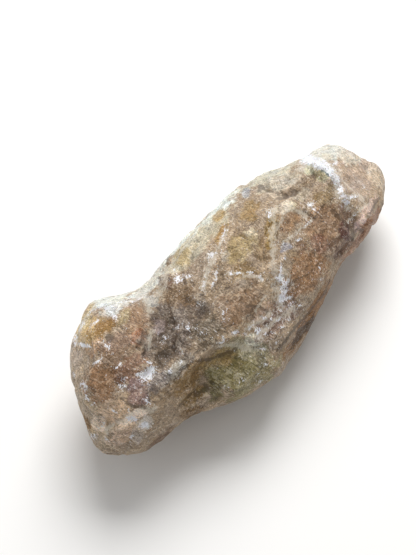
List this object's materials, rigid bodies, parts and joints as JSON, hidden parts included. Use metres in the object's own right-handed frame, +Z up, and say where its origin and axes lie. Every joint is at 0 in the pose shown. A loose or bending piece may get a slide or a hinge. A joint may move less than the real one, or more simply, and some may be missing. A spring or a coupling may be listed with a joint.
{
  "type": "honeycomb calcite specimen",
  "caption": "Rough elongated stone of tan honeycomb calcite with a broad rounded end, a shallow waist, a hollow in its lower edge and a narrower far end, lying on a small flat spot.",
  "frame": {"origin": "middle of the stone's length and breadth, on the ground under it", "axes": "+X along the length from the broad end towards the narrow end, +Z up, the broad show face turned up and towards -Y"},
  "size_m": [0.238, 0.0952, 0.079],
  "materials": {
    "honeycomb_calcite": "rough broken stone, waxy where it is bare"
  },
  "bodies": {
    "root": {"calcite_stone": "honeycomb_calcite"}
  },
  "joints": []
}
